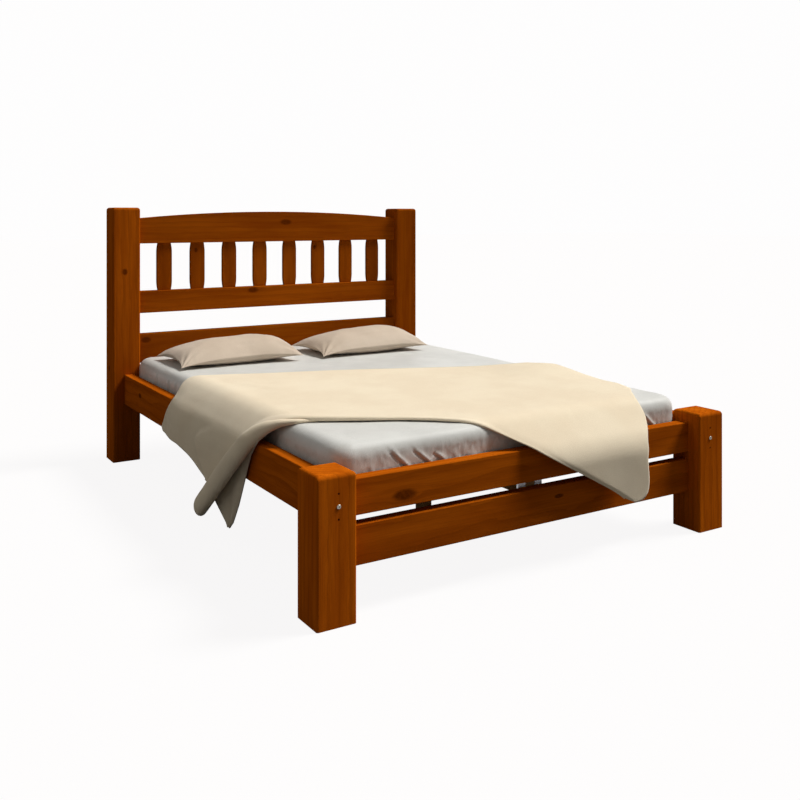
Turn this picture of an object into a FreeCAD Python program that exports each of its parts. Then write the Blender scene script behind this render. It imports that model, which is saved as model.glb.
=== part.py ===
import FreeCAD, Part
import math
import os

os.makedirs("parts", exist_ok=True)
Vector = FreeCAD.Vector

# Mattress: the frame is sized round it
mattress_width = 1372.0
mattress_length = 1905.0
mattress_height = 154.0
mattress_corner_radius = 62.0
mattress_edge_radius = 28.0
mattress_side_gap = 16.0
mattress_end_gap = 7.5
soft_gap = 0.3

# Fitted sheet over the mattress
sheet_thickness = 2.4
sheet_hem_lift = 3.0

# Square posts
post_side = 120.0
head_post_height = 1127.0
foot_post_height = 408.0
post_edge_radius = 6.0
post_top_radius = 12.0

# Side rails and the rails of the footboard
side_rail_setback = 50.0
side_rail_thickness = 42.0
side_rail_height = 130.0
side_rail_bottom = 254.0
foot_rail_setback = 50.0
foot_rail_thickness = 42.0
foot_upper_rail_height = 102.0
foot_rail_gap = 26.0
foot_lower_rail_height = 112.0
foot_lower_rail_bottom = 132.0

# Rails of the headboard; the top rail's upper edge is an arc
head_rail_setback = 28.0
head_rail_thickness = 42.0
head_top_rail_height = 114.0
head_top_rail_bottom = 965.0
head_top_rail_rise = 31.0
head_middle_rail_height = 99.0
head_middle_rail_bottom = 651.0
head_lower_rail_height = 130.0
head_lower_rail_bottom = 427.0
head_end_rail_height = 130.0
head_end_rail_bottom = 202.0
rail_edge_radius = 3.0

# Tenons of the rails in the posts
tenon_length = 45.0
tenon_thickness = 16.0
tenon_shoulder = 12.0
joint_gap = 0.2

# Upright slats of the headboard
head_slat_count = 8
head_slat_width = 68.0
head_slat_end_narrowing = 5.0
head_slat_thickness = 18.0
head_slat_taper_height = 45.0
head_slat_tenon_length = 18.0
head_slat_tenon_thickness = 9.0
head_slat_tenon_shoulder = 7.0

# Bolts, barrel nuts and dowels that join each side rail to its two posts
bolt_line_inset = 15.0
bolt_shank_radius = 4.0
bolt_head_radius = 6.2
bolt_head_height = 2.6
bolt_head_bevel = 1.0
bolt_socket_width = 4.5
bolt_socket_depth = 2.0
bolt_socket_sides = 6
bolt_reach = 62.0
bolt_hole_gap = 0.25
bolt_height_over_middle = 2.0
barrel_nut_radius = 7.0
barrel_nut_length = 20.0
barrel_nut_depth = 50.0
barrel_nut_gap = 0.15
dowel_radius = 3.2
dowel_reach = 45.0
dowel_spacing = 34.5
dowel_recess = 0.8
dowel_gap = 0.1

# Ledgers inside the side rails, and the slats that lie across them
ledger_height = 28.0
ledger_width = 28.0
ledger_end_gap = 3.0
bed_slat_count = 13
bed_slat_width = 70.0
bed_slat_thickness = 18.0
bed_slat_end_gap = 1.0
bed_slat_edge_radius = 2.0

# Centre beam, its steel hangers and its legs
beam_width = 38.0
beam_height = 70.0
beam_end_gap = 3.0
hanger_plate = 2.5
hanger_ear_width = 26.0
hanger_seat_length = 40.0
hanger_side_gap = 0.3
leg_side = 44.0
leg_spacing = 700.0

# Wood screws
screw_radius = 2.0
screw_head_radius = 4.0
screw_head_height = 2.4
ledger_screw_count = 6
ledger_screw_length = 50.0
ledger_screw_end_inset = 90.0
slat_screw_length = 34.0
hanger_screw_length = 26.0
hanger_screw_inset = 12.0
leg_screw_length = 110.0
leg_screw_spacing = 20.0

# Pillows in their cases
pillow_length = 550.0
pillow_width = 350.0
pillow_height = 108.0
pillow_seam_height = 36.0
pillow_corner_height = 17.0
pillow_edge_height = 9.0
pillow_side_draw = 14.0
pillow_end_draw = 12.0
pillow_case_thickness = 2.0
pillow_inner_gap = 0.6
pillow_rest_gap = 0.4
pillow_spacing = 88.0
pillow_pair_shift = -45.5
pillow_stagger = 22.0
pillow_head_gap = 155.0
pillow_turn = -1.0
pillow_place_shares = (-1.0, -0.86, -0.6, -0.25, 0.25, 0.6, 0.86, 1.0)
pillow_rise_shares = (0.0, 0.42, 0.80, 1.0, 1.0, 0.80, 0.42, 0.0)

# Blanket laid askew over the mattress
blanket_thickness = 6.0
blanket_bend_radius = 26.0
blanket_rail_bend_radius = 9.0
blanket_overlap = 60.0
blanket_inset = 1.0
blanket_post_gap = 3.0
blanket_lowest = 47.0
blanket_roll_width = 76.0
blanket_roll_root_width = 46.0
blanket_roll_depth = 42.0
blanket_roll_root_depth = 30.0

# The hem of the blanket, as shares of half the mattress in X or Y and of the mattress's top in Z
top_hem_shares = (
    (-1.0, 0.311), (1.0, -0.285), (1.0, -0.762), (0.70, -1.0), (-0.225, -1.0),
    (-0.315, -0.88), (-0.46, -0.79), (-0.62, -0.74), (-0.80, -0.70), (-1.0, -0.68))
left_hem_shares = (
    (0.311, 1.04), (0.284, 0.853), (0.400, 0.594), (0.408, 0.560), (0.385, 0.540), (0.062, 0.468),
    (-0.127, 0.366), (-0.215, 0.285), (-0.290, 0.200), (-0.360, 0.140), (-0.380, 0.175),
    (-0.530, 0.636), (-0.600, 0.845), (-0.690, 1.04))
foot_hem_shares = (
    (-0.240, 1.04), (-0.070, 0.815), (0.362, 0.446), (0.530, 0.316), (0.627, 0.291),
    (0.665, 0.312), (0.681, 0.375), (0.681, 0.815), (0.700, 1.04))
right_hem_shares = ((-0.285, 1.04), (-0.315, 0.875), (-0.353, 0.735), (-0.495, 0.850), (-0.762, 1.04))

# Folds of the hanging sides: place along the edge, then how far the hem stands out
left_fold_shares = (
    (0.56, 0.45), (0.44, 0.60), (0.32, 0.30), (0.20, 0.62), (0.08, 0.30), (-0.04, 0.72), (-0.16, 0.30),
    (-0.28, 0.70), (-0.40, 0.30), (-0.52, 0.60), (-0.64, 0.30), (-0.76, 0.45))
foot_fold_shares = (
    (-0.34, 0.15), (-0.14, 0.15), (0.06, 0.35), (0.24, 0.25), (0.40, 0.60), (0.54, 0.45), (0.64, 0.85),
    (0.72, 0.35))
right_fold_shares = ((-0.20, 0.20), (-0.34, 0.50), (-0.50, 0.20), (-0.80, 0.30))
roll_low_shares = (-0.072, 0.150)
roll_high_shares = (-0.590, 0.870)

# Places worked out from the sizes above
sheet_grow = soft_gap + sheet_thickness
top_gap = soft_gap + blanket_inset
side_rail_inner_x = mattress_width / 2 + mattress_side_gap
side_rail_outer_x = side_rail_inner_x + side_rail_thickness
bed_half_width = side_rail_outer_x + side_rail_setback
post_inner_x = bed_half_width - post_side
mattress_space = mattress_length + 2 * mattress_end_gap
foot_depth = foot_rail_setback + foot_rail_thickness
head_depth = post_side - head_rail_setback
foot_y = -(foot_depth + mattress_space + head_depth) / 2
head_y = -foot_y
foot_post_back_y = foot_y + post_side
foot_rail_front_y = foot_y + foot_rail_setback
foot_rail_inner_y = foot_rail_front_y + foot_rail_thickness
head_post_front_y = head_y - post_side
head_rail_front_y = head_post_front_y + head_rail_setback
head_rail_middle_y = head_rail_front_y + head_rail_thickness / 2
mattress_middle_y = foot_rail_inner_y + mattress_space / 2
side_rail_top = side_rail_bottom + side_rail_height
foot_upper_rail_bottom = foot_lower_rail_bottom + foot_lower_rail_height + foot_rail_gap
foot_upper_rail_top = foot_upper_rail_bottom + foot_upper_rail_height
bed_slat_bottom = side_rail_bottom + ledger_height
bed_slat_top = bed_slat_bottom + bed_slat_thickness
mattress_bottom = bed_slat_top + soft_gap
mattress_top = mattress_bottom + mattress_height
sheet_top = mattress_top + sheet_grow
bolt_x = side_rail_outer_x - bolt_line_inset
bolt_z = side_rail_bottom + side_rail_height / 2 + bolt_height_over_middle


def save(node, shape):
    shape.exportStep("parts/" + node + ".step")


def box(low, high):
    size = high - low
    return Part.makeBox(size.x, size.y, size.z, low)


def edges_along(shape, axis):
    """The straight edges that run along one of the axes."""
    found = []
    for edge in shape.Edges:
        run = edge.Vertexes[-1].Point - edge.Vertexes[0].Point
        if run.Length > 0 and abs(run.dot(axis)) > run.Length * math.cos(math.radians(1)):
            found.append(edge)
    return found


def eased_box(low, high, axis, radius):
    """A board whose four long edges are rounded."""
    board = box(low, high)
    return board.makeFillet(radius, edges_along(board, axis))


def rod(start, direction, radius, length):
    return Part.makeCylinder(radius, length, start, direction)


def mirror_x(shape):
    return shape.mirror(Vector(0, 0, 0), Vector(1, 0, 0))


def side_copies(shape):
    """A shape and its mirror image on the other side of the bed."""
    return [shape, mirror_x(shape)]


def rail_tenon(side, middle_y, bottom, top, gap):
    """The tenon at one end of a rail, or with a gap round it the mortise that takes it."""
    half = tenon_thickness / 2 + gap
    inner, outer = sorted((side * (post_inner_x - gap), side * (post_inner_x + tenon_length + gap)))
    low = Vector(inner, middle_y - half, bottom + tenon_shoulder - gap)
    high = Vector(outer, middle_y + half, top - tenon_shoulder + gap)
    return box(low, high)


def cross_rail(front_y, thickness, bottom, height):
    """A rail from post to post, with a tenon at each end."""
    low = Vector(-post_inner_x, front_y, bottom)
    high = Vector(post_inner_x, front_y + thickness, bottom + height)
    rail = eased_box(low, high, Vector(1, 0, 0), rail_edge_radius)
    for side in (-1, 1):
        rail = rail.fuse(rail_tenon(side, front_y + thickness / 2, bottom, bottom + height, 0))
    return rail.removeSplitter()


def post_rails(at_head):
    """Middle plane, bottom and top of each rail that a post carries."""
    if at_head:
        y = head_rail_middle_y
        return ((y, head_top_rail_bottom, head_top_rail_bottom + head_top_rail_height),
                (y, head_middle_rail_bottom, head_middle_rail_bottom + head_middle_rail_height),
                (y, head_lower_rail_bottom, head_lower_rail_bottom + head_lower_rail_height),
                (y, head_end_rail_bottom, head_end_rail_bottom + head_end_rail_height))
    y = foot_rail_front_y + foot_rail_thickness / 2
    return ((y, foot_upper_rail_bottom, foot_upper_rail_bottom + foot_upper_rail_height),
            (y, foot_lower_rail_bottom, foot_lower_rail_bottom + foot_lower_rail_height))


def bolt_start(side, at_head):
    """Where a bed bolt enters the post's outer face, and the way it points."""
    y = head_y if at_head else foot_y
    return Vector(side * bolt_x, y, bolt_z), Vector(0, -1 if at_head else 1, 0)


def dowel_starts(side, at_head):
    start, inward = bolt_start(side, at_head)
    return [(start + Vector(0, 0, up * dowel_spacing), inward) for up in (-1, 1)]


def bolt_holes(side, at_head):
    """Everything that the bolt and dowels of one corner need cut away, in post and rail."""
    start, inward = bolt_start(side, at_head)
    reach = post_side + bolt_reach + bolt_hole_gap
    holes = [rod(start, inward, bolt_shank_radius + bolt_hole_gap, reach)]
    for place, way in dowel_starts(side, at_head):
        holes.append(rod(place, way, dowel_radius + dowel_gap, post_side + dowel_reach + dowel_gap))
    return holes


def post(side, at_head):
    height = head_post_height if at_head else foot_post_height
    near_y = head_post_front_y if at_head else foot_y
    inner, outer = sorted((side * post_inner_x, side * bed_half_width))
    low = Vector(inner, near_y, 0)
    high = Vector(outer, near_y + post_side, height)
    body = eased_box(low, high, Vector(0, 0, 1), post_edge_radius)
    top = [edge for edge in body.Edges if edge.BoundBox.ZMin > height - post_top_radius]
    body = body.makeFillet(post_top_radius, top)
    cuts = bolt_holes(side, at_head)
    for middle_y, bottom, rail_top in post_rails(at_head):
        cuts.append(rail_tenon(side, middle_y, bottom, rail_top, joint_gap))
    return body.cut(cuts)


def arched_blank():
    """The headboard's top rail before its mortises: straight below, an arc above."""
    low_z = head_top_rail_bottom
    end_z = low_z + head_top_rail_height
    left_low, right_low = Vector(-post_inner_x, 0, low_z), Vector(post_inner_x, 0, low_z)
    left_high, right_high = Vector(-post_inner_x, 0, end_z), Vector(post_inner_x, 0, end_z)
    crown = Part.Arc(right_high, Vector(0, 0, end_z + head_top_rail_rise), left_high).toShape()
    edges = [Part.makeLine(left_low, right_low), Part.makeLine(right_low, right_high), crown,
             Part.makeLine(left_high, left_low)]
    face = Part.Face(Part.Wire(edges))
    face.translate(Vector(0, head_rail_front_y, 0))
    blank = face.extrude(Vector(0, head_rail_thickness, 0))
    long_edges = [edge for edge in blank.Edges if edge.BoundBox.XLength > post_inner_x]
    return blank.makeFillet(rail_edge_radius, long_edges)


def head_slat_x(number):
    gap = (2 * post_inner_x - head_slat_count * head_slat_width) / (head_slat_count + 1)
    return -post_inner_x + gap + head_slat_width / 2 + number * (gap + head_slat_width)


def head_slat_tenon(number, at_top, gap):
    half_width = head_slat_width / 2 - head_slat_end_narrowing - head_slat_tenon_shoulder + gap
    half_depth = head_slat_tenon_thickness / 2 + gap
    seat = head_top_rail_bottom if at_top else head_middle_rail_bottom + head_middle_rail_height
    reach = (head_slat_tenon_length + gap) * (1 if at_top else -1)
    low_z, high_z = sorted((seat, seat + reach))
    middle = Vector(head_slat_x(number), head_rail_middle_y, 0)
    return box(middle + Vector(-half_width, -half_depth, low_z),
               middle + Vector(half_width, half_depth, high_z))


def head_top_rail():
    low_z, high_z = head_top_rail_bottom, head_top_rail_bottom + head_top_rail_height
    rail = arched_blank()
    for side in (-1, 1):
        rail = rail.fuse(rail_tenon(side, head_rail_middle_y, low_z, high_z, 0))
    mortises = [head_slat_tenon(n, True, joint_gap) for n in range(head_slat_count)]
    return rail.cut(mortises)


def head_middle_rail():
    rail = cross_rail(head_rail_front_y, head_rail_thickness, head_middle_rail_bottom,
                      head_middle_rail_height)
    return rail.cut([head_slat_tenon(n, False, joint_gap) for n in range(head_slat_count)])


def head_slat(number):
    """An upright slat: full width in the middle, drawn in by an arc towards each end."""
    low_z = head_middle_rail_bottom + head_middle_rail_height
    high_z = head_top_rail_bottom
    half = head_slat_width / 2
    end_half = half - head_slat_end_narrowing
    bow = head_slat_end_narrowing / 4
    taper = head_slat_taper_height
    corners = {}
    for side in (-1, 1):
        corners[side] = [Vector(side * end_half, 0, low_z), Vector(side * half, 0, low_z + taper),
                         Vector(side * half, 0, high_z - taper), Vector(side * end_half, 0, high_z)]
    half_taper = taper / 2
    mid_half = half - head_slat_end_narrowing / 2 + bow

    def side_edges(side):
        a, b, c, d = corners[side]
        low_arc = Part.Arc(a, Vector(side * mid_half, 0, low_z + half_taper), b).toShape()
        high_arc = Part.Arc(c, Vector(side * mid_half, 0, high_z - half_taper), d).toShape()
        return [low_arc, Part.makeLine(b, c), high_arc]

    edges = [edge for side in (-1, 1) for edge in side_edges(side)]
    edges.append(Part.makeLine(corners[-1][0], corners[1][0]))
    edges.append(Part.makeLine(corners[-1][3], corners[1][3]))
    face = Part.Face(Part.Wire(Part.__sortEdges__(edges)))
    depth = head_slat_thickness
    face.translate(Vector(head_slat_x(number), head_rail_middle_y - depth / 2, 0))
    slat = face.extrude(Vector(0, depth, 0))
    return slat.fuse([head_slat_tenon(number, True, 0), head_slat_tenon(number, False, 0)])


def barrel_nut_centre(side, at_head):
    start, inward = bolt_start(side, at_head)
    return start + inward * (post_side + barrel_nut_depth)


def side_rail(side):
    inner, outer = sorted((side * side_rail_inner_x, side * side_rail_outer_x))
    low = Vector(inner, foot_post_back_y, side_rail_bottom)
    high = Vector(outer, head_post_front_y, side_rail_top)
    rail = eased_box(low, high, Vector(0, 1, 0), rail_edge_radius)
    cuts = [screw for screw in ledger_screws() if screw.BoundBox.XMin * side > 0]
    for at_head in (False, True):
        cuts += bolt_holes(side, at_head)
        centre = barrel_nut_centre(side, at_head)
        far_end = Vector(side * (bolt_x + barrel_nut_length / 2 + barrel_nut_gap), centre.y, centre.z)
        way = Vector(-side, 0, 0)
        cuts.append(rod(far_end, way, barrel_nut_radius + barrel_nut_gap, side_rail_thickness))
    return rail.cut(cuts)


def bed_bolt(side, at_head):
    start, inward = bolt_start(side, at_head)
    head = rod(start - inward * bolt_head_height, inward, bolt_head_radius, bolt_head_height)
    rim = [edge for edge in head.Edges if edge.Curve.TypeId == "Part::GeomCircle"]
    outer_rim = max(rim, key=lambda edge: -edge.CenterOfMass.dot(inward))
    head = head.makeChamfer(bolt_head_bevel, [outer_rim])
    shank = rod(start, inward, bolt_shank_radius, post_side + bolt_reach)
    corner_reach = bolt_socket_width / math.sqrt(3)
    mouth = start - inward * bolt_head_height
    ring = []
    for corner in range(bolt_socket_sides + 1):
        turn = 2 * math.pi * corner / bolt_socket_sides
        ring.append(mouth + Vector(math.cos(turn), 0, math.sin(turn)) * corner_reach)
    socket = Part.Face(Part.makePolygon(ring)).extrude(inward * bolt_socket_depth)
    return head.fuse(shank).cut(socket)


def barrel_nut(side, at_head):
    centre = barrel_nut_centre(side, at_head)
    start = centre - Vector(barrel_nut_length / 2, 0, 0)
    nut = rod(start, Vector(1, 0, 0), barrel_nut_radius, barrel_nut_length)
    thread_start = centre - Vector(0, barrel_nut_radius, 0)
    thread = rod(thread_start, Vector(0, 1, 0), bolt_shank_radius + bolt_hole_gap / 2,
                 2 * barrel_nut_radius)
    return nut.cut(thread)


def rail_dowel(place, inward):
    start = place + inward * dowel_recess
    return rod(start, inward, dowel_radius, post_side + dowel_reach - dowel_recess)


def corner_group(make):
    """One fastener of a kind at each of the four corners."""
    return [make(side, at_head) for side in (-1, 1) for at_head in (False, True)]


def wood_screw(seat, direction, length):
    """A countersunk screw whose flat head is flush with its seat."""
    head = Part.makeCone(screw_head_radius, screw_radius, screw_head_height, seat, direction)
    shank = rod(seat, direction, screw_radius, length)
    return head.fuse(shank).removeSplitter()


def ledger(side):
    inner_x = side_rail_inner_x - ledger_width
    inner, outer = sorted((side * inner_x, side * side_rail_inner_x))
    low = Vector(inner, foot_post_back_y + ledger_end_gap, side_rail_bottom)
    high = Vector(outer, head_post_front_y - ledger_end_gap, side_rail_bottom + ledger_height)
    screws = [screw for screw in ledger_screws() + bed_slat_screws() if screw.BoundBox.XMin * side > 0]
    return box(low, high).cut(screws)


def ledger_screws():
    first = foot_rail_inner_y + ledger_screw_end_inset
    last = head_rail_front_y - ledger_screw_end_inset
    step = (last - first) / (ledger_screw_count - 1)
    screws = []
    for number in range(ledger_screw_count):
        seat = Vector(side_rail_inner_x - ledger_width, first + number * step,
                      side_rail_bottom + ledger_height / 2)
        screws += side_copies(wood_screw(seat, Vector(1, 0, 0), ledger_screw_length))
    return screws


def bed_slat_y(number):
    gap = (mattress_space - bed_slat_count * bed_slat_width) / (bed_slat_count + 1)
    return foot_rail_inner_y + gap + bed_slat_width / 2 + number * (gap + bed_slat_width)


def bed_slat_screws():
    x = side_rail_inner_x - ledger_width / 2
    screws = []
    for number in range(bed_slat_count):
        screws += bed_slat_screw_pair(number, x)
    return screws


def bed_slat_screw_pair(number, x):
    seat = Vector(x, bed_slat_y(number), bed_slat_top)
    return side_copies(wood_screw(seat, Vector(0, 0, -1), slat_screw_length))


def bed_slat(number):
    half = side_rail_inner_x - bed_slat_end_gap
    middle = bed_slat_y(number)
    low = Vector(-half, middle - bed_slat_width / 2, bed_slat_bottom)
    high = Vector(half, middle + bed_slat_width / 2, bed_slat_top)
    slat = eased_box(low, high, Vector(1, 0, 0), bed_slat_edge_radius)
    return slat.cut(bed_slat_screw_pair(number, side_rail_inner_x - ledger_width / 2))


def centre_beam():
    low = Vector(-beam_width / 2, foot_rail_inner_y + beam_end_gap, bed_slat_bottom - beam_height)
    high = Vector(beam_width / 2, head_rail_front_y - beam_end_gap, bed_slat_bottom)
    return box(low, high).cut(leg_screws())


def leg_y(number):
    return mattress_middle_y + leg_spacing * (number - 1 / 2)


def centre_leg(number):
    half = leg_side / 2
    low = Vector(-half, leg_y(number) - half, 0)
    high = Vector(half, leg_y(number) + half, bed_slat_bottom - beam_height)
    return eased_box(low, high, Vector(0, 0, 1), rail_edge_radius).cut(leg_screws())


def leg_screws():
    screws = []
    for number in (0, 1):
        for side in (-1, 1):
            seat = Vector(0, leg_y(number) + side * leg_screw_spacing / 2, bed_slat_bottom)
            screws.append(wood_screw(seat, Vector(0, 0, -1), leg_screw_length))
    return screws


def hanger_screw_places(at_head):
    """Seats of the four screws in one hanger's ears, and the way they point."""
    face_y = head_rail_front_y - hanger_plate if at_head else foot_rail_inner_y + hanger_plate
    low_z = bed_slat_bottom - beam_height + hanger_screw_inset
    high_z = bed_slat_bottom - hanger_screw_inset / 2
    x = beam_width / 2 + hanger_side_gap + hanger_plate + hanger_ear_width / 2
    way = Vector(0, 1 if at_head else -1, 0)
    return [(Vector(side * x, face_y, z), way) for side in (-1, 1) for z in (low_z, high_z)]


def hanger_screws(at_head):
    return [wood_screw(seat, way, hanger_screw_length) for seat, way in hanger_screw_places(at_head)]


def beam_hanger(at_head):
    """A folded steel cradle: a seat and two cheeks round the beam, and an ear on each side."""
    wall_y = head_rail_front_y if at_head else foot_rail_inner_y
    inward = -1 if at_head else 1
    cheek = beam_width / 2 + hanger_side_gap
    outer = cheek + hanger_plate
    low_z = bed_slat_bottom - beam_height - hanger_plate
    near, far = sorted((wall_y, wall_y + inward * hanger_seat_length))
    cradle = box(Vector(-outer, near, low_z), Vector(outer, far, bed_slat_bottom))
    room = box(Vector(-cheek, near, low_z + hanger_plate), Vector(cheek, far, bed_slat_bottom))
    near, far = sorted((wall_y, wall_y + inward * hanger_plate))
    ear = outer + hanger_ear_width
    ears = box(Vector(-ear, near, low_z), Vector(ear, far, bed_slat_bottom))
    return cradle.fuse(ears).cut([room] + hanger_screws(at_head)).removeSplitter()


def soft_block(grow, bottom, top, edge_radius, corner_radius):
    """A mattress-shaped block, grown sideways, with rounded corners and edges."""
    half_x = mattress_width / 2 + grow
    half_y = mattress_length / 2 + grow
    middle = Vector(0, mattress_middle_y, 0)
    block = eased_box(middle + Vector(-half_x, -half_y, bottom), middle + Vector(half_x, half_y, top),
                      Vector(0, 0, 1), corner_radius)
    rims = [edge for edge in block.Edges if edge.BoundBox.ZLength < edge_radius / 2]
    return block.makeFillet(edge_radius, rims)


def mattress():
    return soft_block(0, mattress_bottom, mattress_top, mattress_edge_radius, mattress_corner_radius)


def fitted_sheet():
    """A thin skin over the mattress's top and sides, open below."""
    outer = soft_block(sheet_grow, mattress_bottom, sheet_top, mattress_edge_radius + sheet_grow,
                       mattress_corner_radius + sheet_grow)
    inner = soft_block(soft_gap, mattress_bottom - sheet_thickness, mattress_top + soft_gap,
                       mattress_edge_radius + soft_gap, mattress_corner_radius + soft_gap)
    hem = mattress_bottom + sheet_hem_lift + mattress_edge_radius / 2
    keep = box(Vector(-bed_half_width, foot_y, hem), Vector(bed_half_width, head_y, head_post_height))
    return outer.cut(inner).common(keep)


def lens(x, half_width, low, seam, top):
    """The cut across a pillow: an arc over it and an arc under it, from seam to seam."""
    front, back = Vector(x, -half_width, seam), Vector(x, half_width, seam)
    over = Part.Arc(front, Vector(x, 0, top), back).toShape()
    under = Part.Arc(back, Vector(x, 0, low), front).toShape()
    return Part.Wire([over, under])


def pillow_form(shrink):
    """A crowned pillow with drawn-in sides, or the same form drawn in all round."""
    half_x, half_y = pillow_length / 2 - shrink, pillow_width / 2 - shrink
    half_edge = pillow_edge_height / 2
    rings = []
    for place, rise in zip(pillow_place_shares, pillow_rise_shares):
        seam = pillow_corner_height + (pillow_seam_height - pillow_corner_height) * rise
        draw = pillow_side_draw * (1 - place ** 2)
        low = (seam - half_edge) * (1 - min(1, 2 * rise))
        top = seam + half_edge + (pillow_height - pillow_seam_height - half_edge) * rise
        rings.append(lens(half_x * place, half_y - draw, low + shrink, seam, top - shrink))
    form = Part.makeLoft(rings, True)
    bow = (half_y ** 2 + pillow_end_draw ** 2) / (2 * pillow_end_draw)
    ends = []
    for side in (-1, 1):
        centre = Vector(side * (half_x - pillow_end_draw + bow), 0, -pillow_height)
        ends.append(rod(centre, Vector(0, 0, 1), bow, 3 * pillow_height))
    return form.cut(ends)


def place_pillow(shape, side):
    shape.rotate(Vector(0, 0, 0), Vector(0, 0, 1), pillow_turn)
    x = pillow_pair_shift + side * (pillow_length + pillow_spacing) / 2
    y = head_rail_front_y - pillow_head_gap - (pillow_width + side * pillow_stagger) / 2
    shape.translate(Vector(x, y, sheet_top + pillow_rest_gap))
    return shape


def pillow(side):
    return place_pillow(pillow_form(pillow_case_thickness + pillow_inner_gap), side)


def pillow_case(side):
    return place_pillow(pillow_form(0).cut(pillow_form(pillow_case_thickness)), side)


def smooth_corner(points, number, radius):
    """The tangent arc at one corner of a path: where it starts, its middle and where it ends."""
    before, corner, after = points[number - 1], points[number], points[number + 1]
    back = (before - corner).normalize()
    ahead = (after - corner).normalize()
    half_angle = math.acos(max(-1, min(1, back.dot(ahead)))) / 2
    run = radius / math.tan(half_angle)
    bisector = (back + ahead).normalize()
    centre = corner + bisector * (radius / math.sin(half_angle))
    return corner + back * run, centre - bisector * radius, corner + ahead * run


def strip_path(points, radii):
    """The edges of a path of straight runs with an arc at each inner corner."""
    edges = []
    start = points[0]
    for number in range(1, len(points) - 1):
        first, middle, last = smooth_corner(points, number, radii[number - 1])
        edges.append(Part.makeLine(start, first))
        edges.append(Part.Arc(first, middle, last).toShape())
        start = last
    edges.append(Part.makeLine(start, points[-1]))
    return edges


def offset_points(points, distance):
    """The path's corners moved out by a distance, square to the runs; the path lies in XZ."""
    normals = []
    for start, end in zip(points, points[1:]):
        run = (end - start).normalize()
        normals.append(Vector(run.z, 0, -run.x))
    moved = [points[0] + normals[0] * distance]
    for number in range(1, len(points) - 1):
        a, b = normals[number - 1], normals[number]
        moved.append(points[number] + (a + b) * (distance / (1 + a.dot(b))))
    moved.append(points[-1] + normals[-1] * distance)
    return moved


def bend_place(edge, over, top, radius):
    """Where the blanket leaves the mattress's top, to clear its round edge on the way to the rail."""
    centre = Vector(edge, 0, top) - Vector(radius, 0, radius)
    to_centre = centre - over
    clear = radius + top_gap
    slope = math.atan2(to_centre.z, -to_centre.x) + math.asin(clear / to_centre.Length)
    return over.x - (top + top_gap - over.z) / math.tan(slope)


def drape_section(edge, top, rail_edge, rail_top, stand_out, station):
    """The cut through one hanging side: over the mattress's edge, over the rail's, and down."""
    low = blanket_lowest - blanket_thickness
    over = Vector(rail_edge + top_gap, 0, rail_top + top_gap)
    bend = bend_place(edge, over, top, mattress_edge_radius + sheet_grow)
    inner = [Vector(bend - blanket_overlap, 0, top + top_gap), Vector(bend, 0, top + top_gap), over,
             Vector(over.x + stand_out, 0, low)]
    thickness = blanket_thickness - 2 * blanket_inset
    outer = offset_points(inner, -thickness)
    inner_edges = strip_path(inner, (blanket_bend_radius, blanket_rail_bend_radius))
    outer_edges = strip_path(outer, (blanket_bend_radius + thickness, blanket_rail_bend_radius + thickness))
    ends = [Part.makeLine(inner[0], outer[0]), Part.makeLine(inner[-1], outer[-1])]
    wire = Part.Wire(Part.__sortEdges__(inner_edges + outer_edges + ends))
    wire.translate(Vector(0, station, 0))
    return wire


def drape(edge, rail_edge, rail_top, room, half_run, fold_shares):
    """A hanging side of the blanket, as if it hung over the +X edge, before its hem is cut."""
    widest = room - blanket_thickness - blanket_post_gap - top_gap
    sections = []
    for place_share, fold_share in sorted(fold_shares):
        sections.append(drape_section(edge, sheet_top, rail_edge, rail_top, widest * fold_share,
                                      half_run * place_share))
    return Part.makeLoft(sections, True)


def hem_prism(points, push):
    """A block with the outline of a hem, to cut a hanging side or the top to."""
    wire = Part.makePolygon(points + points[:1])
    return Part.Face(wire).extrude(push)


def beside_mattress(shape):
    """Move a shape drawn round Y = 0 so that it lies round the mattress's middle."""
    shape.translate(Vector(0, mattress_middle_y, 0))
    return shape


def left_drape():
    shape = mirror_x(drape(mattress_width / 2 + sheet_grow, side_rail_outer_x, side_rail_top,
                           side_rail_setback, mattress_length / 2, left_fold_shares))
    points = [Vector(-bed_half_width, y * mattress_length / 2, z * sheet_top) for y, z in left_hem_shares]
    return beside_mattress(shape.common(hem_prism(points, Vector(bed_half_width, 0, 0))))


def right_drape():
    shape = drape(mattress_width / 2 + sheet_grow, side_rail_outer_x, side_rail_top,
                  side_rail_setback, mattress_length / 2, right_fold_shares)
    points = [Vector(0, y * mattress_length / 2, z * sheet_top) for y, z in right_hem_shares]
    return beside_mattress(shape.common(hem_prism(points, Vector(bed_half_width, 0, 0))))


def foot_drape():
    foot_edge = mattress_length / 2 + sheet_grow - mattress_middle_y
    shape = drape(foot_edge, -foot_rail_front_y, foot_upper_rail_top, foot_rail_setback,
                  mattress_width / 2, foot_fold_shares)
    shape.rotate(Vector(0, 0, 0), Vector(0, 0, 1), -90)
    points = [Vector(x * mattress_width / 2, foot_y, z * sheet_top) for x, z in foot_hem_shares]
    return shape.common(hem_prism(points, Vector(0, -foot_y, 0)))


def blanket_top():
    """The flat part of the blanket, on top of the mattress."""
    inner_x = mattress_width / 2 - mattress_edge_radius
    inner_y = mattress_length / 2 - mattress_edge_radius
    z = sheet_top + soft_gap
    points = [Vector(x * mattress_width / 2, mattress_middle_y + y * mattress_length / 2, z)
              for x, y in top_hem_shares]
    panel = hem_prism(points, Vector(0, 0, blanket_thickness))
    keep = box(Vector(-inner_x, mattress_middle_y - inner_y, z),
               Vector(inner_x, mattress_middle_y + inner_y, z + blanket_thickness))
    return panel.common(keep)


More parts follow.
